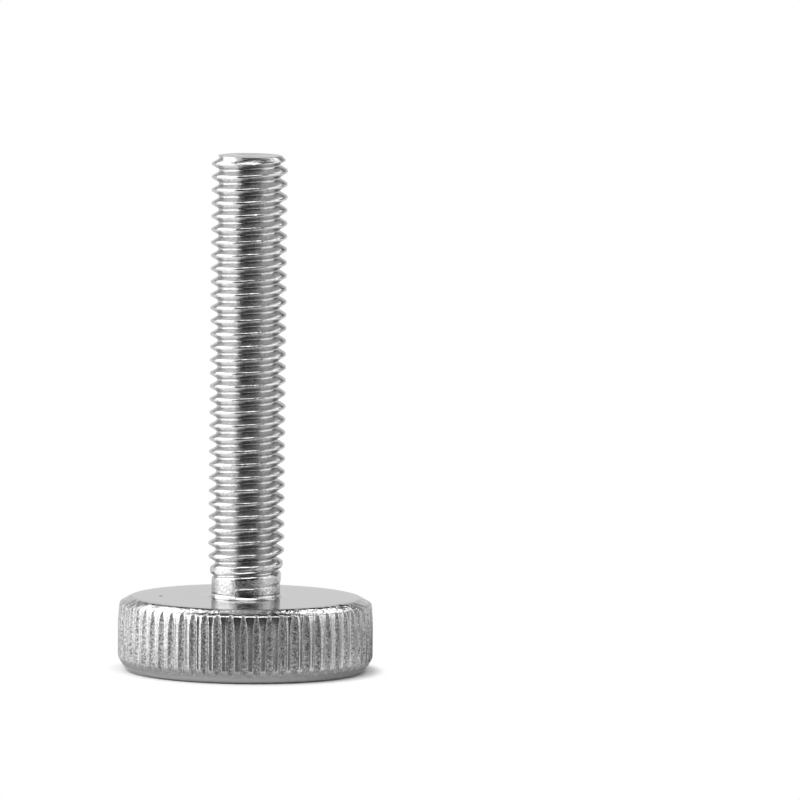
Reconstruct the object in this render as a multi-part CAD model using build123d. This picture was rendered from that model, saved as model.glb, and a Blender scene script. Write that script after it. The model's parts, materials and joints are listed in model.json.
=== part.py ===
from build123d import *

import os
from math import ceil, radians, tan

# Knurled thumb screw, turned from one bar, with a rolled right-hand thread.
# Millimetres. The origin is the centre of the head's outer face, and the shank points along +Z.
# Azimuths are degrees about +Z, counted from +X.

# Head: a short round disc with a straight knurl and a chamfer at each end
head_diameter = 19.5
head_height = 5.65
knurl_teeth = 62
knurl_depth = 0.28
knurl_azimuth = 270
edge_break_width = 0.2
edge_break_height = 0.13
outer_chamfer_height = 1.1
outer_chamfer_angle = 60
shank_chamfer_height = 0.55
shank_chamfer_angle = 29

# Shank, measured from the head's bearing face
shank_length = 33.75
neck_flare = 0.35
tip_chamfer = 0.45

# Thread: one V groove, rolled into a plain blank so that the crests rise out of it
thread_diameter = 5.8
thread_pitch = 1.0
thread_angle = 60
crest_flat_per_pitch = 0.18
groove_start_height = 0.8
groove_start_azimuth = 250
groove_start_depth = 0.06
run_out_turns = 2

# Each turn of the thread is built from this many equal straight pieces
pieces_per_turn = 24

head_radius = head_diameter / 2
crest_radius = thread_diameter / 2
flank_slope = tan(radians(thread_angle / 2))

# Rolling moves metal from the groove to the crests, so both are as wide at the blank's surface
groove_depth = thread_pitch / 4 / flank_slope
crest_height = thread_pitch * (1 / 2 - crest_flat_per_pitch) / 2 / flank_slope
blank_radius = crest_radius - crest_height
neck_top = head_height + (neck_flare + groove_start_height) / 2


def turned_solid(points):
    """The solid swept by a closed outline of (radius, height) points when it turns about Z."""
    outline = Plane.XZ * make_face(Polyline(points, close=True))
    return revolve(outline, axis=Axis.Z)


def head_blank():
    """The disc before knurling: an outer face with a broken edge, and a chamfer at each end.

    Both chamfers run on past the knurl's crests, so that they alone shape the knurl's ends.
    """
    reach = head_radius + knurl_depth
    outer_rise = tan(radians(outer_chamfer_angle))
    shank_rise = tan(radians(shank_chamfer_angle))
    break_radius = head_radius - (outer_chamfer_height - edge_break_height) / outer_rise
    seat_radius = head_radius - shank_chamfer_height / shank_rise
    return turned_solid([
        (0, 0),
        (break_radius - edge_break_width, 0),
        (break_radius, edge_break_height),
        (reach, edge_break_height + (reach - break_radius) * outer_rise),
        (reach, head_height - (reach - seat_radius) * shank_rise),
        (seat_radius, head_height),
        (0, head_height),
    ])


def knurl_prism():
    """A straight prism with a sharp ridge and a V groove for each tooth of the knurl."""
    tooth_angle = 360 / knurl_teeth
    root_radius = head_radius - knurl_depth
    corners = []
    for tooth in range(knurl_teeth):
        azimuth = knurl_azimuth + tooth * tooth_angle
        corners.append(Vector(root_radius, 0, 0).rotate(Axis.Z, azimuth))
        corners.append(Vector(head_radius, 0, 0).rotate(Axis.Z, azimuth + tooth_angle / 2))
    return extrude(make_face(Polyline(corners, close=True)), head_height)


def head():
    """The knurled head: the chamfers cut the teeth to points at both ends."""
    return head_blank() & knurl_prism()


def neck():
    """The plain blank between head and thread, flared where it meets the bearing face."""
    return turned_solid([
        (0, head_height),
        (blank_radius + neck_flare, head_height),
        (blank_radius, head_height + neck_flare),
        (blank_radius, neck_top),
        (0, neck_top),
    ])


# A thread line gives (radius, height) at a number of turns from the groove's start.

def grown(turn):
    """How far the thread has grown: 0 at its start, and 1 from the end of the run-out."""
    return min(max(turn / run_out_turns, 0), 1)


def neck_rim(turn):
    """The level circle where the plain neck ends."""
    return blank_radius, neck_top


def groove_root(turn):
    """The sharp bottom of the groove."""
    depth = groove_start_depth + (groove_depth - groove_start_depth) * grown(turn)
    return blank_radius - depth, head_height + groove_start_height + thread_pitch * turn


def lower_lip(turn):
    """The groove's edge on the side of the head, where the crest below it starts a turn late."""
    root_radius, height = groove_root(turn)
    radius = blank_radius + crest_height * grown(turn - 1)
    return radius, height - (radius - root_radius) * flank_slope


def upper_lip(turn):
    """The groove's edge on the side of the tip."""
    root_radius, height = groove_root(turn)
    radius = blank_radius + crest_height * grown(turn)
    return radius, height + (radius - root_radius) * flank_slope


def next_lower_lip(turn):
    """The groove's lower edge one turn on, which is the far edge of the crest above this turn."""
    return lower_lip(turn + 1)


def thread_point(line, turn):
    """The point of a thread line at a turn."""
    radius, height = line(turn)
    return Vector(radius, 0, height).rotate(Axis.Z, groove_start_azimuth + 360 * turn)


def thread_edge(line, turn):
    """One piece of a thread line from a turn on: an arc if the line is level, otherwise straight."""
    next_turn = turn + 1 / pieces_per_turn
    radius, height = line(turn)
    if line(next_turn)[1] == height:
        azimuths = [groove_start_azimuth + 360 * place for place in (turn, next_turn)]
        return Edge.make_circle(radius, Plane.XY.offset(height), *azimuths)
    return Edge.make_line(thread_point(line, turn), thread_point(line, next_turn))


def ruled_strip(first_line, second_line, turns):
    """The faces ruled between two thread lines, over a number of turns from the start."""
    starts = [piece / pieces_per_turn for piece in range(turns * pieces_per_turn)]
    return [
        Face.make_surface_from_curves(thread_edge(first_line, turn), thread_edge(second_line, turn))
        for turn in starts
    ]


def end_ramp(turns):
    """A ramp that closes the last turn, ruled from the axis out to the groove's root."""
    faces = []
    for piece in range(pieces_per_turn):
        turn = turns + piece / pieces_per_turn
        next_turn = turn + 1 / pieces_per_turn
        spine = Edge.make_line((0, 0, groove_root(turn)[1]), (0, 0, groove_root(next_turn)[1]))
        faces.append(Face.make_surface_from_curves(spine, thread_edge(groove_root, turn)))
    return faces


def end_wall(turns):
    """The flat step of that ramp, from the axis out to one full tooth of the thread."""
    tooth = [
        thread_point(groove_root, turns),
        thread_point(upper_lip, turns),
        thread_point(next_lower_lip, turns),
        thread_point(groove_root, turns + 1),
    ]
    return Face(Wire.make_polygon([(0, 0, tooth[0].Z), *tooth, (0, 0, tooth[-1].Z)]))


def threaded_rod():
    """The rod above the neck as one closed shell, running on past the tip by a turn or more."""
    turns = ceil((shank_length - groove_start_height) / thread_pitch) + 1
    groove_end = [thread_point(line, 0) for line in (lower_lip, groove_root, upper_lip)]
    return Solid(Shell([
        Face(Wire.make_circle(blank_radius, Plane.XY.offset(neck_top))),
        Face(Wire.make_polygon(groove_end)),
        *ruled_strip(neck_rim, lower_lip, 1),
        *ruled_strip(lower_lip, groove_root, turns + 1),
        *ruled_strip(groove_root, upper_lip, turns),
        *ruled_strip(upper_lip, next_lower_lip, turns),
        *end_ramp(turns),
        end_wall(turns),
    ]))


def tip_blank():
    """The outline that cuts the rod to the shank's length and chamfers its tip."""
    tip = head_height + shank_length
    face_radius = crest_radius - tip_chamfer
    reach = crest_radius + tip_chamfer
    return turned_solid([
        (0, head_height),
        (reach, head_height),
        (reach, tip - (reach - face_radius)),
        (face_radius, tip),
        (0, tip),
    ])


def thumb_screw():
    """The whole screw, as one solid."""
    return head() + neck() + (threaded_rod() & tip_blank())


os.makedirs("parts", exist_ok=True)
export_step(thumb_screw(), "parts/thumb_screw.step")
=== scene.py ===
import json
from math import cos, pi, radians, sin, tan

import bpy
import numpy as np
from bpy.props import FloatProperty, FloatVectorProperty, IntProperty, PointerProperty
from mathutils import Matrix, Vector


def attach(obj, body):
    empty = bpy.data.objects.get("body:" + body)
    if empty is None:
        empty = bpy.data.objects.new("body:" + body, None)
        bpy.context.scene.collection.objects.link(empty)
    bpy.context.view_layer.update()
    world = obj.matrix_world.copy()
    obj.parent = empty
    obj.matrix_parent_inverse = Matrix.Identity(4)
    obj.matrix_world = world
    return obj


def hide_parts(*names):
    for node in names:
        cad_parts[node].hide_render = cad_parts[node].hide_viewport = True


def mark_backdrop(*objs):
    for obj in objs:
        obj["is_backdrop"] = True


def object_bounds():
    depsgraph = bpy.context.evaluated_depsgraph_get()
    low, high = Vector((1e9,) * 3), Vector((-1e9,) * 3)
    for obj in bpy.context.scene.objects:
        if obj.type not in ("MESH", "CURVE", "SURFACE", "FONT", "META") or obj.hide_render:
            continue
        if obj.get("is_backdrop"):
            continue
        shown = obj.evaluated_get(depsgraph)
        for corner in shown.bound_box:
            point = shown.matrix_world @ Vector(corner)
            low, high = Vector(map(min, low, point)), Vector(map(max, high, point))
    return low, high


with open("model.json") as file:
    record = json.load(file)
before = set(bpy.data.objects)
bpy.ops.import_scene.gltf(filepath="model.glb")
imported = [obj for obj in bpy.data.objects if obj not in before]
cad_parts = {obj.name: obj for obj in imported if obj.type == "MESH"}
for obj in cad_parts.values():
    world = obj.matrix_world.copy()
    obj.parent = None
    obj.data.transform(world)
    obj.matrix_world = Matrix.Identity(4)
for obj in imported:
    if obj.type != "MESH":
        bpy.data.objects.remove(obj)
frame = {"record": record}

bl_info = {
    "name": "Knurled Thumb Screw",
    "version": (1, 0, 0),
    "blender": (4, 5, 0),
    "location": "View3D > Sidebar > Thumb Screw",
    "description": "A turned thumb screw with a knurled head and a rolled thread, on its CAD frame",
    "category": "Object",
}

# Metres. The origin is the centre of the head's outer face, and the shank points along +Z.
# The head stands on the floor. Azimuths are degrees about +Z, counted from +X.
MM = 0.001
NODE = "thumb_screw"

# What the CAD frame gives
CAD_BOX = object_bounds()
MOUNTS = {mount["name"]: mount for mount in frame["record"]["mounts"]}
HEAD_RADIUS = CAD_BOX[1].x
TIP = CAD_BOX[1].z
SEAT = MOUNTS["bearing_face"]["pos_m"][2]
CREST_RADIUS = MOUNTS["thread"]["dims"]["r_mm"] * MM

# The x and y of a small pit in the bearing face
PIT = (-6.48 * MM, -0.4 * MM)

# Lamps round the screw: azimuth and elevation in degrees, width, height and radiance
SOFTBOX_DISTANCE = 0.6
SOFTBOXES = {
    "left_softbox": (187, 28, 1.0, 0.6, 2.6),
    "right_softbox": (350, 24, 0.6, 0.5, 1.5),
    "back_left_softbox": (127, 46, 0.3, 0.34, 2.4),
    "back_right_softbox": (54, 47, 0.25, 0.28, 2.4),
    "top_softbox": (270, 66, 0.5, 0.24, 4.6),
}

# Level cards that only the steel's reflections show: the card's material, a corner and two sides
CARDS = {
    "front_card": ("black_card", (-0.04, -0.045, 0.001), (0.36, -0.25, 0), (-1.8, -1.63, 0)),
    # A painted shadow: a dark grey sheet for the head's shadow on the floor in front, which the
    # steel mirrors
    "near_card": ("grey_card", (-0.004, -0.0105, 0.0002), (0.05, -0.005, 0), (-0.03, -0.04, 0)),
    # Partly painted shadow: a grey sheet for a second screw lying to the right and for its shadow,
    # as the steel mirrors them
    "right_card": ("pale_card", (0.0105, -0.004, 0.0003), (0.05, 0, 0), (0, 0.025, 0)),
    # A painted bright reflection: a card that glows though it is no lamp, which the steel mirrors
    # as a bright patch to its left
    "left_card": ("lit_card", (-0.013, -0.012, 0.001), (-0.26, -0.235, 0), (-0.06, 0.06, 0)),
}
CARD_GREYS = {"black_card": 0.02, "grey_card": 0.16, "pale_card": 0.3}
# How bright the glowing card's painted reflection is
GLOWING_CARD_LEVEL = 1.75

# How bright the dark room is that the steel mirrors. The camera sees it white.
ROOM_LEVEL = 0.03

# The knurl needs many columns round the screw, and the faces and the shank an eighth of them
HEAD_COLUMNS_PER_SHANK_COLUMN = 8


def smooth_step(low, high, values):
    """0 below low, 1 above high, and 3t^2 - 2t^3 of the way t between them."""
    t = np.clip((values - low) / (high - low), 0, 1)
    return t * t * (3 - 2 * t)


def smooth_min(a, b, softness):
    """The smaller of a and b, with the corner between them rounded over about the softness."""
    return (a + b - np.sqrt((a - b) ** 2 + softness ** 2)) / 2


def ripple(points, wavelength, seed, waves=9):
    """Even noise, mostly of -1 to 1, summed from plane waves that run in seeded directions.

    Each wave is the sine of its phase plus 2 pi times the distance along its direction over its
    own wavelength, which is 0.7 to 1.4 times the one given. The sum is divided by the square root
    of the number of waves.
    """
    random = np.random.default_rng(seed)
    directions = random.normal(size=(waves, points.shape[-1]))
    directions /= np.linalg.norm(directions, axis=1)[:, None]
    lengths = wavelength * random.uniform(0.7, 1.4, waves)
    phases = random.uniform(0, 2 * pi, waves)
    return np.sin(2 * pi * (points @ directions.T) / lengths + phases).sum(axis=-1) / waves ** 0.5


class Mesh:
    """A triangle mesh gathered from grids: points and relief as lists of arrays, then welded."""

    def __init__(self):
        self.points = []
        self.reliefs = []
        self.triangles = []
        self.count = 0

    def add_points(self, points, relief):
        """Adds an array of points of any shape, and returns their numbers in that shape."""
        shape = points.shape[:-1]
        numbers = np.arange(points[..., 0].size).reshape(shape) + self.count
        self.points.append(points.reshape(-1, 3))
        self.reliefs.append(np.broadcast_to(relief, shape).reshape(-1))
        self.count += numbers.size
        return numbers

    def add_quads(self, lower, upper):
        """Two triangles for each cell between the rows of point numbers lower and upper."""
        a, b = lower[..., :-1], lower[..., 1:]
        d, c = upper[..., :-1], upper[..., 1:]
        for corners in ((a, b, c), (a, c, d)):
            self.triangles.append(np.stack(corners, axis=-1).reshape(-1, 3))

    def add_rings(self, rings):
        """The cells between closed rings of point numbers, one ring a row."""
        closed = np.concatenate([rings, rings[:, :1]], axis=1)
        self.add_quads(closed[:-1], closed[1:])

    def add_stitch(self, coarse, fine, coarse_after):
        """Joins a coarse ring to one with a whole multiple of its points, as fans and gussets."""
        share = fine.size // coarse.size
        fans = np.concatenate([fine, fine[:1]])
        fans = np.stack([fans[k:k + fine.size:share] for k in range(share + 1)], axis=1)
        following = np.roll(coarse, -1)
        half = share // 2
        pieces = []
        for k in range(share):
            apex = coarse if k < half else following
            pieces.append(np.stack([apex, fans[:, k], fans[:, k + 1]], axis=-1))
        pieces.append(np.stack([coarse, fans[:, half], following], axis=-1))
        for triangles in pieces:
            self.triangles.append(triangles if coarse_after else triangles[:, ::-1])

    def build(self, name):
        """The object: points at one place are welded, and triangles that vanish are left out."""
        points = np.concatenate(self.points)
        weld_distance = MM * 1e-5
        keys = np.round(points / weld_distance).astype(np.int64)
        _, first, place = np.unique(keys, axis=0, return_index=True, return_inverse=True)
        triangles = place.reshape(-1)[np.concatenate(self.triangles)]
        a, b, c = triangles.T
        triangles = triangles[(a != b) & (b != c) & (c != a)]
        mesh = bpy.data.meshes.new(name)
        mesh.vertices.add(len(first))
        mesh.vertices.foreach_set("co", points[first].ravel())
        mesh.loops.add(triangles.size)
        mesh.loops.foreach_set("vertex_index", triangles.ravel())
        mesh.polygons.add(len(triangles))
        mesh.polygons.foreach_set("loop_start", np.arange(0, triangles.size, 3))
        mesh.polygons.foreach_set("use_smooth", np.ones(len(triangles), bool))
        relief = mesh.attributes.new("relief", "FLOAT", "POINT")
        relief.data.foreach_set("value", np.concatenate(self.reliefs)[first])
        mesh.update(calc_edges=True)
        mesh.validate()
        screw = bpy.data.objects.new(name, mesh)
        bpy.context.collection.objects.link(screw)
        return screw


def turned(radius, azimuth, height):
    """Points at a radius, azimuth (in turns) and height, as one array."""
    angle = 2 * pi * azimuth
    x, y, z = np.broadcast_arrays(radius * np.cos(angle), radius * np.sin(angle), height)
    return np.stack([x, y, z], axis=-1)


def rounded_outline(corners, reaches, steps):
    """Rows of (radius, height) along the corners, each inner corner a quadratic curve.

    The curve starts its reach before the corner and ends its reach after it, but at most halfway
    along a side. The corner is its control point: (1-t)^2 start + 2t(1-t) corner + t^2 end.
    """
    rows = [corners[0]]
    for before, corner, after, reach in zip(corners, corners[1:], corners[2:], reaches):
        arms = []
        for other in (before, after):
            length = np.linalg.norm(other - corner, axis=-1, keepdims=True)
            arms.append(corner + (other - corner) * np.minimum(reach / length, 0.5))
        for t in np.linspace(0, 1, steps):
            rows.append((1 - t) ** 2 * arms[0] + 2 * t * (1 - t) * corner + t ** 2 * arms[1])
    rows.append(corners[-1])
    return np.stack(rows)


def bearing_radius(sizes):
    """The radius of the bearing face's rim, where the shank chamfer starts."""
    return HEAD_RADIUS - sizes.shank_chamfer_height / tan(sizes.shank_chamfer_angle)


def knurl_radius(sizes, place):
    """The knurl's radius at each place across a tooth.

    Place is 0 on a land's middle, 1 at its edge and 2 in a groove's middle. The groove falls from
    the land's rounded edge by its depth times a smooth step of the place. The land is hollow by
    its burr height times 1 - place^3, because rolling pushed its edges up.
    """
    rounded_edge, groove_floor = 0.86, 1.85
    peak = HEAD_RADIUS - sizes.knurl_clearance
    trough = sizes.knurl_depth * smooth_step(rounded_edge, groove_floor, place)
    hollow = sizes.burr_height * (1 - np.clip(place, 0, 1) ** 3)
    return peak - trough - hollow


def head_columns(sizes):
    """For each column round the head: its tooth, its place across it and on which side.

    The places stand closest at a land's edge, where the surface turns most.
    """
    half = np.array([2, 1.6, 1.35, 1.12, 0.94, 0.7])
    places = np.concatenate([half, [0], half[:0:-1]])
    sides = np.sign(np.arange(places.size) - half.size)
    tooth = np.repeat(np.arange(sizes.knurl_teeth), places.size)
    return tooth, np.tile(places, sizes.knurl_teeth), np.tile(sides, sizes.knurl_teeth)


def head_azimuth(sizes, height):
    """The azimuth in turns of every head column at each height.

    A column keeps its place on its tooth. A land's share of its tooth is the knurl's land times
    the sum of a constant, a widening in step with the height, a flare where the grooves run out
    at the top, and a seeded unevenness. The whole knurl wavers by a hair along its height.
    """
    tooth, place, side = head_columns(sizes)
    spot = np.stack(np.broadcast_arrays(tooth * 1.0, height / MM), axis=-1)
    rise = height / SEAT
    widening = 0.46 * rise
    flare = 0.8 * smooth_step(SEAT - 1.4 * MM, SEAT - 0.4 * MM, height)
    unevenness = 0.2 * ripple(spot, 7, seed=3)
    share = sizes.knurl_land * (0.72 + widening + flare + unevenness)
    across = share / 2 * np.minimum(place, 1) + (1 - share) / 2 * np.clip(place - 1, 0, 1)
    waver = 0.045 * ripple(spot, 11, seed=4)
    turns = (tooth + 0.5 + side * across + waver) / sizes.knurl_teeth
    return sizes.knurl_azimuth / (2 * pi) + turns


def add_head(mesh, sizes):
    """The head from the rim of its outer face to the rim of its bearing face.

    Each column's outline runs through the corners of the turned blank and its own knurl radius,
    so that both chamfers cut the teeth, and every corner is rounded. Towards the top a column leans
    in by its relief times the lean's height times the tangent of its angle, so lands lean most.
    """
    place = head_columns(sizes)[1]
    knurl = knurl_radius(sizes, place)
    outer_rise = tan(sizes.outer_chamfer_angle)
    shank_rise = tan(sizes.shank_chamfer_angle)
    break_height = sizes.edge_break_height
    break_radius = HEAD_RADIUS - (sizes.outer_chamfer_height - break_height) / outer_rise
    seat_radius = bearing_radius(sizes)
    relief = 1 - (HEAD_RADIUS - sizes.knurl_clearance - knurl) / sizes.knurl_depth
    lean = sizes.knurl_lean_height * tan(sizes.knurl_lean) * np.clip(relief, 0, 1)
    side_start = break_height + (knurl - break_radius) * outer_rise
    side_end = SEAT - (knurl - lean - seat_radius) * shank_rise
    rim_width = 5 * sizes.edge_break_width
    outline = [
        (break_radius - rim_width, 0),
        (break_radius - sizes.edge_break_width, 0),
        (break_radius, break_height),
        (knurl, side_start),
        (knurl, (2 * side_start + side_end) / 3),
        (knurl, side_end - sizes.knurl_lean_height),
        (knurl - lean, side_end),
        (seat_radius, SEAT),
        (seat_radius - rim_width, SEAT),
    ]
    corners = [np.stack(np.broadcast_arrays(r, z, place)[:2], axis=-1) for r, z in outline]

    # How far each corner but the first and last is rounded: a land's top wears more than a groove's
    worn = (0.05 + 0.08 * relief)[:, None]
    reaches = [reach * MM for reach in (0.07, 0.07, 0.14, 0.6, 0.6, worn, 0.28)]
    rows = rounded_outline(corners, reaches, steps=4)
    radius, height = rows[..., 0], rows[..., 1]
    points = turned(radius, head_azimuth(sizes, height), height)
    points[..., :2] *= 1 - rim_dent(sizes, points)[..., None]

    # The relief of the lands and grooves fades out across the rim of the outer face
    side = smooth_step(0.5 * MM, 0, break_radius - radius)
    rings = mesh.add_points(points, 1 + side * (relief - 1))
    mesh.add_rings(rings)
    return (rings[0], outline[0][0]), (rings[-1], outline[-1][0])


def rim_dent(sizes, points):
    """The share of its radius by which a dent in the bearing face's rim moves each point in.

    It falls from 2% to nothing as a smooth step of the distance from the dent's middle on the rim,
    where heights count half.
    """
    azimuth, rim = sizes.nick_azimuth, bearing_radius(sizes)
    middle = np.array([rim * cos(azimuth), rim * sin(azimuth), SEAT])
    distance = np.linalg.norm((points - middle) / [1, 1, 2], axis=-1)
    return 0.02 * smooth_step(0.6 * MM, 0.1 * MM, distance)


def shank_azimuth(sizes):
    """The azimuths in turns of the shank's columns, from the groove's start on."""
    columns = head_columns(sizes)[0].size // HEAD_COLUMNS_PER_SHANK_COLUMN
    return sizes.groove_start_azimuth / (2 * pi) + np.arange(columns) / columns


def add_disc(mesh, sizes, radii, heights):
    """Rings of the shank's columns at these radii and heights."""
    radii, heights = np.asarray(radii), np.asarray(heights) * np.ones(len(radii))
    points = turned(radii[:, None], shank_azimuth(sizes), heights[:, None])
    rings = mesh.add_points(points, 1)
    mesh.add_rings(rings)
    return rings


def aligned(sizes, ring):
    """The head's ring of point numbers, counted from the column nearest the groove's start."""
    ahead = (sizes.groove_start_azimuth - sizes.knurl_azimuth) / (2 * pi)
    return np.roll(ring, -round(ahead * ring.size))


def grown(sizes, turn):
    """How far the thread has grown: 0 at its start, and 1 from the end of the run-out."""
    return np.clip(turn / sizes.run_out_turns, 0, 1)


def thread_radius(sizes, share, height):
    """The radius and relief of the threaded shank at a share of a turn from the start, and height.

    The nearest groove root at that azimuth lies a whole number of pitches along. At a distance d
    along the axis, the flanks' radius is that of their sharp V plus slope * d. Nearer than where an
    arc of the root's radius touches both, it is the arc's centre less sqrt(arc radius^2 - d^2).
    At its very start the groove deepens from nothing as a smooth step of the turn. The relief goes
    from 0 at the bottom of the full groove's sharp V to 1 on a crest.
    """
    first_turns = 0.05
    slope = 1 / tan(sizes.thread_angle / 2)
    full_depth = sizes.thread_pitch / 4 * slope
    crest_height = sizes.thread_pitch * (1 / 2 - sizes.crest_flat_per_pitch) / 2 * slope
    blank = CREST_RADIUS - crest_height
    start = SEAT + sizes.groove_start_height
    along = (height - start) / sizes.thread_pitch - share
    nearest = np.maximum(np.round(along), 0)
    turn = nearest + share
    distance = np.abs(along - nearest) * sizes.thread_pitch
    depth = sizes.groove_start_depth
    depth = depth + (full_depth - depth) * grown(sizes, turn)
    depth = depth * smooth_step(0, first_turns, turn)
    arc = sizes.root_radius * depth / full_depth
    inside_arc = distance < arc * cos(sizes.thread_angle / 2)
    bottom = arc / sin(sizes.thread_angle / 2) - np.sqrt(np.maximum(arc ** 2 - distance ** 2, 0))
    groove = blank - depth + np.where(inside_arc, bottom, slope * distance)
    crest = blank + crest_height * grown(sizes, np.where(along >= nearest, turn, turn - 1))
    radius = smooth_min(crest, groove, sizes.crest_rounding)
    cone = CREST_RADIUS - sizes.tip_chamfer + (TIP - height)
    radius = smooth_min(radius, cone, sizes.crest_rounding)
    relief = np.clip((radius - blank + full_depth) / (full_depth + crest_height), 0, 1)
    return radius, relief


def shank_wear(sizes, points, height):
    """How far wear and rolling marks lift the shank's surface at each point.

    Broad ripples run all over it, and fine ones fade out over the first turns of the thread. Both
    vanish at the neck's flare and at the tip.
    """
    pitch = sizes.thread_pitch
    above_flare = height - (SEAT + sizes.neck_flare)
    above_start = height - (SEAT + sizes.groove_start_height)
    broad = ripple(points, 1.7 * MM, seed=5) * 0.006 * MM
    fine = ripple(points, 0.25 * MM, seed=6) * 0.005 * MM
    fine = fine * smooth_step(2.4 * pitch, 0.6 * pitch, above_start)
    inside = smooth_step(0, 0.2 * MM, above_flare) * smooth_step(0, 0.1 * MM, TIP - height)
    return (broad + fine) * inside


def add_shank(mesh, sizes):
    """The neck above its flare, the thread and the tip.

    The thread's rows follow its helix, so a row joins the one a pitch higher after each turn. They
    stand closest where the groove's bottom and the crest's edges turn. Rows that would leave the
    shank lie on its end rings, and vanish when the mesh is welded.
    """
    half = np.array([0, 0.035, 0.07, 0.1, 0.125, 0.24, 0.35, 0.385, 0.41, 0.435, 0.465])
    section = np.concatenate([half, [0.5], 1 - half[:0:-1]])
    azimuth = shank_azimuth(sizes)
    share = np.arange(azimuth.size) / azimuth.size
    neck_end = SEAT + sizes.neck_flare
    start = SEAT + sizes.groove_start_height
    below = int(np.ceil((start - neck_end) / sizes.thread_pitch)) + 1
    above = int(np.ceil((TIP - start) / sizes.thread_pitch)) + 1
    along = (np.arange(-below, above)[:, None] + section).ravel()
    height = start + sizes.thread_pitch * (along[:, None] + share)
    height = np.clip(height, neck_end, TIP)
    radius, relief = thread_radius(sizes, share, height)
    wear = shank_wear(sizes, turned(radius, azimuth, height), height)
    points = turned(radius + wear, azimuth, height)
    rows = mesh.add_points(points, relief)
    following = np.minimum(np.arange(len(rows)) + section.size, len(rows) - 1)
    closed = np.concatenate([rows, rows[following, :1]], axis=1)
    mesh.add_quads(closed[:-1], closed[1:])
    return (rows[0], radius[0, 0]), points[-1]


def add_faces(mesh, sizes, outer_rim, bearing_rim, neck_rim, tip_points):
    """The outer face, the bearing face up to the neck, and the tip's face.

    A rim is a ring of point numbers and its radius, and a face's rings stand at shares of it. The
    neck's flare is a curve of t from 0 to 1: its radius is the neck's plus the flare times (1-t)^2,
    and its height above the bearing face is the flare times t^2.
    """
    ring, rim = outer_rim
    rings = add_disc(mesh, sizes, rim * np.array([0, 0.1, 0.4, 0.7, 0.92]), 0)
    mesh.add_stitch(rings[-1], aligned(sizes, ring), coarse_after=False)
    ring, rim = bearing_rim
    face = rim * np.array([0.94, 0.7, 0.5])
    neck_ring, neck_radius = neck_rim
    t = np.linspace(0, 1, 7)
    flare = neck_radius + sizes.neck_flare * (1 - t) ** 2
    heights = np.concatenate([[SEAT] * face.size, SEAT + sizes.neck_flare * t ** 2])
    rings = add_disc(mesh, sizes, np.concatenate([face, flare]), heights)
    mesh.add_stitch(rings[0], aligned(sizes, ring), coarse_after=True)
    mesh.add_rings(np.stack([rings[-1], neck_ring]))
    shrinking = np.array([1, 0.85, 0.4, 0])[:, None, None] * [1, 1, 0] + [0, 0, 1]
    rings = mesh.add_points(tip_points * shrinking, 1)
    mesh.add_rings(rings)


class Value:
    """A socket in a node tree. An expression on it adds the Math nodes that work it out."""

    def __init__(self, shader, socket):
        self.shader = shader
        self.socket = socket

    def math(self, operation, *operands):
        """A Math node of that operation on these operands."""
        inputs = dict(enumerate(operands))
        return self.shader.node("ShaderNodeMath", {"operation": operation}, inputs)

    def __add__(self, other):
        return self.math("ADD", self, other)

    def __radd__(self, other):
        return self.math("ADD", other, self)

    def __sub__(self, other):
        return self.math("SUBTRACT", self, other)

    def __rsub__(self, other):
        return self.math("SUBTRACT", other, self)

    def __mul__(self, other):
        return self.math("MULTIPLY", self, other)

    def __rmul__(self, other):
        return self.math("MULTIPLY", other, self)

    def __truediv__(self, other):
        return self.math("DIVIDE", self, other)

    def __rtruediv__(self, other):
        return self.math("DIVIDE", other, self)

    def __pow__(self, other):
        return self.math("POWER", self, other)

    def step(self, low, high):
        """0 at low, 1 at high and smooth between, also where low is the larger."""
        inputs = {"Value": self, "From Min": low, "From Max": high}
        return self.shader.node("ShaderNodeMapRange", {"interpolation_type": "SMOOTHSTEP"}, inputs)


class Shader:
    """The emptied node tree of a material or a world."""

    def __init__(self, owner):
        self.world = isinstance(owner, bpy.types.World)
        owner.use_nodes = True
        self.tree = owner.node_tree
        self.tree.nodes.clear()

    def node(self, kind, settings=None, inputs=None, output=0):
        """A node with its settings made first, then its inputs set or linked. Gives one output."""
        node = self.tree.nodes.new(kind)
        for name, setting in (settings or {}).items():
            setattr(node, name, setting)
        for name, given in (inputs or {}).items():
            if isinstance(given, Value):
                self.tree.links.new(given.socket, node.inputs[name])
            else:
                node.inputs[name].default_value = given
        return Value(self, node.outputs[output] if node.outputs else None)

    def object_place(self):
        """The Object coordinates, as one vector and as x, y and z."""
        place = self.node("ShaderNodeTexCoord", output="Object")
        split = self.node("ShaderNodeSeparateXYZ", None, {0: place})
        return place, *(Value(self, socket) for socket in split.socket.node.outputs)

    def noise(self, place, scale, detail, roughness=0.55):
        """Noise of 0 to 1 with so many lumps to a metre."""
        inputs = {"Vector": place, "Scale": scale, "Detail": detail, "Roughness": roughness}
        return self.node("ShaderNodeTexNoise", {"noise_dimensions": "3D"}, inputs)

    def vector(self, x, y, z):
        """A vector of three values."""
        return self.node("ShaderNodeCombineXYZ", None, {0: x, 1: y, 2: z})

    def grey(self, value):
        """A grey colour of that value."""
        return self.node("ShaderNodeCombineColor", None, {0: value, 1: value, 2: value})

    def blend(self, factor, first, second):
        """The colour that far from the first to the second, and past it where that is over 1.

        Among a Mix node's sockets, inputs 6 and 7 and output 2 are the colours.
        """
        settings = {"data_type": "RGBA", "clamp_factor": False}
        return self.node("ShaderNodeMix", settings, {0: factor, 6: first, 7: second}, output=2)

    def bump(self, height, distance):
        """A normal tilted by a height, which is counted in units of the distance in metres."""
        return self.node("ShaderNodeBump", None, {"Height": height, "Distance": distance})

    def finish(self, surface):
        """Links a surface or a background to the tree's output."""
        kind = "ShaderNodeOutput" + ("World" if self.world else "Material")
        self.node(kind, None, {"Surface": surface})


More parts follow.
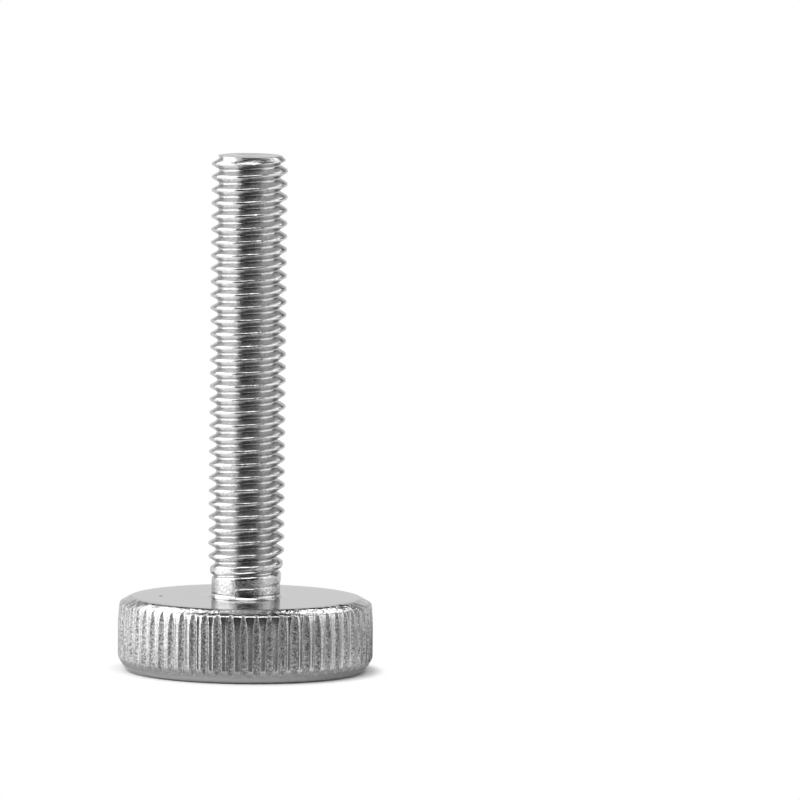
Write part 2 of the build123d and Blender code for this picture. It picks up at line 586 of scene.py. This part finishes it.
class Zones:
    """Where each finish of the steel lies: masks of 0 to 1, with smooth borders.

    Each is a smooth step of the height, of the distance from the axis or of the relief, which is 1
    on a land's edge or a crest and 0 in a groove. The seat is the bearing face, low is the height
    of the outer chamfer, and the foot is the lowest of that, round the outer face.
    """

    def __init__(self, sizes, x, y, z, radius, relief):
        rim = bearing_radius(sizes)
        self.shank = z.step(SEAT + 0.02 * MM, SEAT + 0.1 * MM)
        self.neck = z.step(SEAT + 2.0 * MM, SEAT + 1.0 * MM) * self.shank
        head = 1 - self.shank
        self.side = radius.step(rim + 0.5 * MM, rim + 0.75 * MM) * head
        self.seat = z.step(SEAT - 0.02 * MM, SEAT - 0.01 * MM) * head
        self.outer_face = z.step(0.02 * MM, 0.01 * MM)
        self.foot = z.step(0.7 * MM, 0.2 * MM) * head * (1 - self.outer_face)
        slope = z.step(SEAT - 0.6 * MM, SEAT - 0.5 * MM) * (1 - self.seat)
        self.shank_chamfer = head * (1 - self.side) * slope
        self.low = z.step(1.15 * MM, 0.8 * MM)
        knurled = (1 - self.low) * z.step(SEAT - 0.25 * MM, SEAT - 0.6 * MM)
        self.burr = relief.step(0.86, 0.95) * knurled
        self.groove = relief.step(0.78, 0.7) * knurled

        # The pit is three times as long as it is wide
        from_pit = ((x - PIT[0]) ** 2 + ((y - PIT[1]) / 3) ** 2) ** 0.5
        self.pit = from_pit.step(0.2 * MM, 0.08 * MM) * self.seat


def steel_material(sizes, looks):
    """Turned stainless steel: bright faces, a grainy knurl and a burnished thread.

    Roughness, the tone's darkening and the bump's height are sums over the zones, in each of a
    constant and some noises. The colour is the steel's times a tone, which that darkening, stains
    and the thread's groove darken and the grain speckles. Part of the darkening is painted shade on
    the outer chamfer and round the foot, and a negative part is a painted highlight on the lands'
    burred edges.
    """
    material = bpy.data.materials.new("stainless_steel")
    shader = Shader(material)
    place, x, y, z = shader.object_place()
    radius = (x * x + y * y) ** 0.5
    relief = shader.node("ShaderNodeAttribute", {"attribute_name": "relief"}, output="Fac")
    on = Zones(sizes, x, y, z, radius, relief)

    # Even noises, and noises drawn out round the rolled shank, round the faces and up the knurl
    grain = shader.noise(place, 6500, detail=4, roughness=0.75)
    blotches = shader.noise(place, 1800, detail=3)
    stains = shader.noise(place, 260, detail=5)
    around_shank = shader.vector(radius * 5, x * 0.5 + y * 0.3, z * 0.3)
    rolled = shader.noise(around_shank, 5000, detail=3)
    rings = shader.noise(shader.vector(radius, 0, z), 14000, detail=2)
    to_rim = HEAD_RADIUS / radius
    up_knurl = shader.vector(x * to_rim, y * to_rim, z * 0.06)
    drawn = shader.noise(up_knurl, 6500, detail=3)

    roughness = (
        on.shank * (0.08 + 0.06 * rolled + 0.04 * (1 - relief))
        + on.side * (0.17 + 0.25 * on.groove + 0.14 * grain - 0.04 * on.burr + 0.12 * on.low)
        + on.seat * (0.10 + 0.08 * stains)
        + on.outer_face * 0.20
        + on.shank_chamfer * (0.08 + 0.1 * blotches)
    )
    # The tone's darkening: the knurl's steel a little darker overall, a little more in its grooves,
    # and darker in the pit. On the outer chamfer (low) and round the foot it is painted shade, and
    # on the lands' burred edges it turns negative as a painted highlight.
    worn = (
        on.side * (0.12 + 0.04 * on.groove + 0.34 * on.low - 0.38 * on.burr)
        + 0.3 * on.foot
        + 0.8 * on.pit
    )
    speckled = 1.6 * on.shank + on.side * (2.0 + 4.0 * on.groove)
    tone = (1 - worn) * (0.94 + 0.12 * stains) * (1 - on.shank * (1 - relief) * 0.15)
    tone = tone * (1 + speckled * (0.5 - grain))
    height = (
        on.side * ((0.4 + 3.0 * on.groove + 1.5 * on.low) * grain + 1.1 * drawn)
        + on.shank * (0.9 * rolled + 0.5 * grain + on.neck * (0.7 * grain + 1.8 * blotches))
        + on.seat * (0.06 * rings + 0.25 * stains - 1.5 * on.pit)
        + on.outer_face * 0.5 * rings
        + on.shank_chamfer * (4.0 * blotches + 0.2 * grain)
    )
    inputs = {
        "Base Color": shader.blend(tone, (0, 0, 0, 1), (*looks.steel_colour, 1)),
        "Roughness": roughness,
        "Metallic": 1.0,
        "Specular Tint": (*looks.edge_tint, 1),
        "Normal": shader.bump(height, 0.02 * MM),
    }
    shader.finish(shader.node("ShaderNodeBsdfPrincipled", None, inputs))
    return material


def paper_material(name, looks, white_part):
    """White paper, lit as it is but for the part that white_part(shader) gives.

    That part shows as an even white to the camera and in reflections, whatever the light on it.
    """
    material = bpy.data.materials.new(name)
    shader = Shader(material)
    paper = shader.node("ShaderNodeBsdfDiffuse", None, {"Color": (*looks.floor_colour, 1)})
    white = shader.node("ShaderNodeEmission", None, {"Strength": 1.0})
    rays = shader.node("ShaderNodeLightPath").socket.node.outputs
    seen = Value(shader, rays["Is Camera Ray"]) + Value(shader, rays["Is Glossy Ray"])
    seen = seen + Value(shader, rays["Is Transmission Ray"])
    inputs = {0: seen * white_part(shader), 1: paper, 2: white}
    shader.finish(shader.node("ShaderNodeMixShader", None, inputs))
    return material


def floor_material(looks):
    """Paper that keeps the shadow close round the head, and is an even white further off."""
    lit_radius, white_radius = 0.98 * HEAD_RADIUS, 1.12 * HEAD_RADIUS

    def white_part(shader):
        _, x, y, _ = shader.object_place()
        return ((x * x + y * y) ** 0.5).step(lit_radius, white_radius)

    return paper_material("floor_paper", looks, white_part)


def backdrop_material(looks):
    """The same paper, white all over."""
    return paper_material("backdrop_paper", looks, lambda shader: 1.0)


def card_material(name):
    """Dull card of its grey, or a card that glows by itself as a painted bright reflection."""
    material = bpy.data.materials.new(name)
    shader = Shader(material)
    if name in CARD_GREYS:
        grey = CARD_GREYS[name]
        surface = shader.node("ShaderNodeBsdfDiffuse", None, {"Color": (grey, grey, grey, 1)})
    else:
        surface = shader.node("ShaderNodeEmission", None, {"Strength": GLOWING_CARD_LEVEL})
    shader.finish(surface)
    return material


def studio_world():
    """A dark room to the steel, and white to the camera."""
    world = bpy.data.worlds.new("studio")
    shader = Shader(world)
    rays = shader.node("ShaderNodeLightPath").socket.node.outputs
    level = ROOM_LEVEL + (1 - ROOM_LEVEL) * Value(shader, rays["Is Camera Ray"])
    shader.finish(shader.node("ShaderNodeBackground", None, {"Color": shader.grey(level)}))
    return world


def sheet_object(name, corner, side, other_side, material):
    """A rectangle: a corner and the vectors of the two sides that meet there."""
    corner, side, other_side = (Vector(vector) for vector in (corner, side, other_side))
    corners = [corner, corner + side, corner + side + other_side, corner + other_side]
    mesh = bpy.data.meshes.new(name)
    mesh.from_pydata(corners, [], [(0, 1, 2, 3)])
    mesh.materials.append(material)
    sheet = bpy.data.objects.new(name, mesh)
    bpy.context.collection.objects.link(sheet)
    return sheet


def reflection_cards():
    """The cards round the screw, hidden from the camera and from plain light and shadow."""
    cards = []
    for name, (paper, *sheet) in CARDS.items():
        card = sheet_object(name, *sheet, card_material(paper))
        card.visible_camera = card.visible_diffuse = card.visible_shadow = False
        cards.append(card)
    return cards


def softbox(name, azimuth, elevation, width, height, radiance):
    """An area lamp that faces the screw's middle, with its angles in degrees.

    Its power is radiance * pi * width * height.
    """
    aim = Vector((0, 0, TIP / 2))
    azimuth, elevation = radians(azimuth), radians(elevation)
    way = Vector((cos(azimuth) * cos(elevation), sin(azimuth) * cos(elevation), sin(elevation)))
    lamp = bpy.data.lights.new(name, "AREA")
    lamp.shape = "RECTANGLE"
    lamp.size, lamp.size_y = width, height
    lamp.energy = radiance * pi * width * height
    box = bpy.data.objects.new(name, lamp)
    box.matrix_world = looking(aim + SOFTBOX_DISTANCE * way, aim)
    bpy.context.collection.objects.link(box)
    return box


def looking(place, aim, roll=0.0):
    """The place and turn of a lamp or camera that looks from a place at a point."""
    turn = (aim - place).to_track_quat("-Z", "Y").to_matrix().to_4x4()
    return Matrix.Translation(place) @ turn @ Matrix.Rotation(roll, 4, "Z")


def studio_camera():
    """A long lens a metre away, a little above the screw, which stands left of the middle."""
    aim = Vector((11.61 * MM, 0, 20.84 * MM))
    elevation, roll = radians(5.68), radians(0.61)
    distance = 1.029
    data = bpy.data.cameras.new("camera")
    data.lens = 607.7
    data.clip_end = 10
    camera = bpy.data.objects.new("camera", data)
    place = aim + distance * Vector((0, -cos(elevation), sin(elevation)))
    camera.matrix_world = looking(place, aim, roll)
    bpy.context.collection.objects.link(camera)
    return camera


class ScrewSizes(bpy.types.PropertyGroup):
    """The sizes of the screw that the frame doesn't give."""

    knurl_teeth: IntProperty(
        name="Knurl Teeth",
        description="Lands round the head, an even number",
        default=62,
    )
    knurl_azimuth: FloatProperty(
        name="Knurl Azimuth",
        description="Where one groove of the knurl lies",
        default=radians(270),
        subtype="ANGLE",
    )
    knurl_depth: FloatProperty(
        name="Knurl Depth",
        description="Depth of its grooves",
        default=0.28 * MM,
        unit="LENGTH",
    )
    knurl_land: FloatProperty(
        name="Knurl Land",
        description="A land's share of each tooth",
        default=0.36,
        subtype="FACTOR",
    )
    burr_height: FloatProperty(
        name="Burr Height",
        description="Edge of a land over its middle",
        default=0.06 * MM,
        unit="LENGTH",
    )
    knurl_lean: FloatProperty(
        name="Knurl Lean",
        description="The lands' tops, off upright",
        default=radians(5),
        subtype="ANGLE",
    )
    knurl_lean_height: FloatProperty(
        name="Knurl Lean Height",
        description="Up those tops",
        default=1.3 * MM,
        unit="LENGTH",
    )
    knurl_clearance: FloatProperty(
        name="Knurl Clearance",
        description="How far the knurl stays inside the frame's box",
        default=0.01 * MM,
        unit="LENGTH",
    )
    edge_break_width: FloatProperty(
        name="Edge Break Width",
        description="Across the outer face's rim",
        default=0.2 * MM,
        unit="LENGTH",
    )
    edge_break_height: FloatProperty(
        name="Edge Break Height",
        description="Up the outer face's rim",
        default=0.13 * MM,
        unit="LENGTH",
    )
    outer_chamfer_height: FloatProperty(
        name="Outer Chamfer Height",
        description="Up to the knurl",
        default=1.1 * MM,
        unit="LENGTH",
    )
    outer_chamfer_angle: FloatProperty(
        name="Outer Chamfer Angle",
        description="From the outer face",
        default=radians(60),
        subtype="ANGLE",
    )
    shank_chamfer_height: FloatProperty(
        name="Shank Chamfer Height",
        description="Above the knurl",
        default=0.55 * MM,
        unit="LENGTH",
    )
    shank_chamfer_angle: FloatProperty(
        name="Shank Chamfer Angle",
        description="From the bearing face",
        default=radians(29),
        subtype="ANGLE",
    )
    nick_azimuth: FloatProperty(
        name="Nick Azimuth",
        description="Where the rim is dented",
        default=radians(325),
        subtype="ANGLE",
    )
    neck_flare: FloatProperty(
        name="Neck Flare",
        description="Round where the neck meets the head",
        default=0.35 * MM,
        unit="LENGTH",
    )
    tip_chamfer: FloatProperty(
        name="Tip Chamfer",
        description="Up the tip",
        default=0.45 * MM,
        unit="LENGTH",
    )
    thread_pitch: FloatProperty(
        name="Thread Pitch",
        description="Rise of one turn",
        default=1.0 * MM,
        unit="LENGTH",
    )
    thread_angle: FloatProperty(
        name="Thread Angle",
        description="Between its flanks",
        default=radians(60),
        subtype="ANGLE",
    )
    crest_flat_per_pitch: FloatProperty(
        name="Crest Flat",
        description="The crest's share of a pitch",
        default=0.18,
        subtype="FACTOR",
    )
    crest_rounding: FloatProperty(
        name="Crest Rounding",
        description="Softness of the crest's edges",
        default=0.05 * MM,
        unit="LENGTH",
    )
    root_radius: FloatProperty(
        name="Root Radius",
        description="Round bottom of the groove",
        default=0.15 * MM,
        unit="LENGTH",
    )
    groove_start_height: FloatProperty(
        name="Groove Start",
        description="Above the bearing face",
        default=0.8 * MM,
        unit="LENGTH",
    )
    groove_start_azimuth: FloatProperty(
        name="Groove Azimuth",
        description="Where the groove starts",
        default=radians(250),
        subtype="ANGLE",
    )
    groove_start_depth: FloatProperty(
        name="Groove Start Depth",
        description="Its depth where it starts",
        default=0.06 * MM,
        unit="LENGTH",
    )
    run_out_turns: FloatProperty(
        name="Run-out Turns",
        description="Turns over which the thread grows",
        default=2.0,
    )


class ScrewLooks(bpy.types.PropertyGroup):
    """The colours of the screw and its floor."""

    steel_colour: FloatVectorProperty(
        name="Steel",
        description="The bare steel",
        default=(0.63, 0.63, 0.63),
        subtype="COLOR",
    )
    edge_tint: FloatVectorProperty(
        name="Edge Tint",
        description="The steel seen edge-on",
        default=(0.72, 0.72, 0.72),
        subtype="COLOR",
    )
    floor_colour: FloatVectorProperty(
        name="Floor",
        description="The paper that it stands on",
        default=(0.9, 0.9, 0.9),
        subtype="COLOR",
    )


class MakeScrew(bpy.types.Operator):
    """Make the thumb screw in one piece and give it its steel"""

    bl_idname = "thumb_screw.make_screw"
    bl_label = "Make Screw"

    def execute(self, context):
        sizes = context.scene.screw_sizes
        mesh = Mesh()
        outer_rim, bearing_rim = add_head(mesh, sizes)
        neck_rim, tip_points = add_shank(mesh, sizes)
        add_faces(mesh, sizes, outer_rim, bearing_rim, neck_rim, tip_points)
        screw = mesh.build("knurled_screw")
        screw.data.materials.append(steel_material(sizes, context.scene.screw_looks))
        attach(screw, "root")
        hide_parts(NODE)
        return {"FINISHED"}


class MakeStage(bpy.types.Operator):
    """Make the floor, the lamps, the world and the camera"""

    bl_idname = "thumb_screw.make_stage"
    bl_label = "Make Stage"

    def execute(self, context):
        looks = context.scene.screw_looks
        floor = sheet_object("floor", (-2, -2, 0), (4, 0, 0), (0, 4, 0), floor_material(looks))
        paper = backdrop_material(looks)
        backdrop = sheet_object("backdrop", (-1.5, 1.2, 0), (3, 0, 0), (0, 0, 0.5), paper)
        cards = reflection_cards()
        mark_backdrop(floor, backdrop, *cards)
        for name, settings in SOFTBOXES.items():
            softbox(name, *settings)
        context.scene.world = studio_world()
        context.scene.camera = studio_camera()
        context.scene.view_settings.view_transform = "Standard"
        return {"FINISHED"}


class ScrewPanel(bpy.types.Panel):
    """The sizes, the looks and the steps that make the screw"""

    bl_idname = "VIEW3D_PT_thumb_screw"
    bl_label = "Thumb Screw"
    bl_space_type = "VIEW_3D"
    bl_region_type = "UI"
    bl_category = "Thumb Screw"

    def draw(self, context):
        for group in (context.scene.screw_sizes, context.scene.screw_looks):
            box = self.layout.box()
            for name in group.__annotations__:
                box.prop(group, name)
        for step in STEPS:
            self.layout.operator(step.bl_idname)


STEPS = (MakeScrew, MakeStage)
CLASSES = (ScrewSizes, ScrewLooks, *STEPS, ScrewPanel)


def register():
    """Adds the classes and the two groups of settings."""
    for kind in CLASSES:
        bpy.utils.register_class(kind)
    bpy.types.Scene.screw_sizes = PointerProperty(type=ScrewSizes)
    bpy.types.Scene.screw_looks = PointerProperty(type=ScrewLooks)


def unregister():
    """Takes away what register adds."""
    del bpy.types.Scene.screw_looks
    del bpy.types.Scene.screw_sizes
    for kind in reversed(CLASSES):
        bpy.utils.unregister_class(kind)


def main():
    """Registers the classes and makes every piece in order."""
    register()
    bpy.ops.thumb_screw.make_screw()
    bpy.ops.thumb_screw.make_stage()
    boxes = {"cad": CAD_BOX, "visual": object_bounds()}
    boxes = {name: [list(corner) for corner in box] for name, box in boxes.items()}


if __name__ == "__main__":
    main()
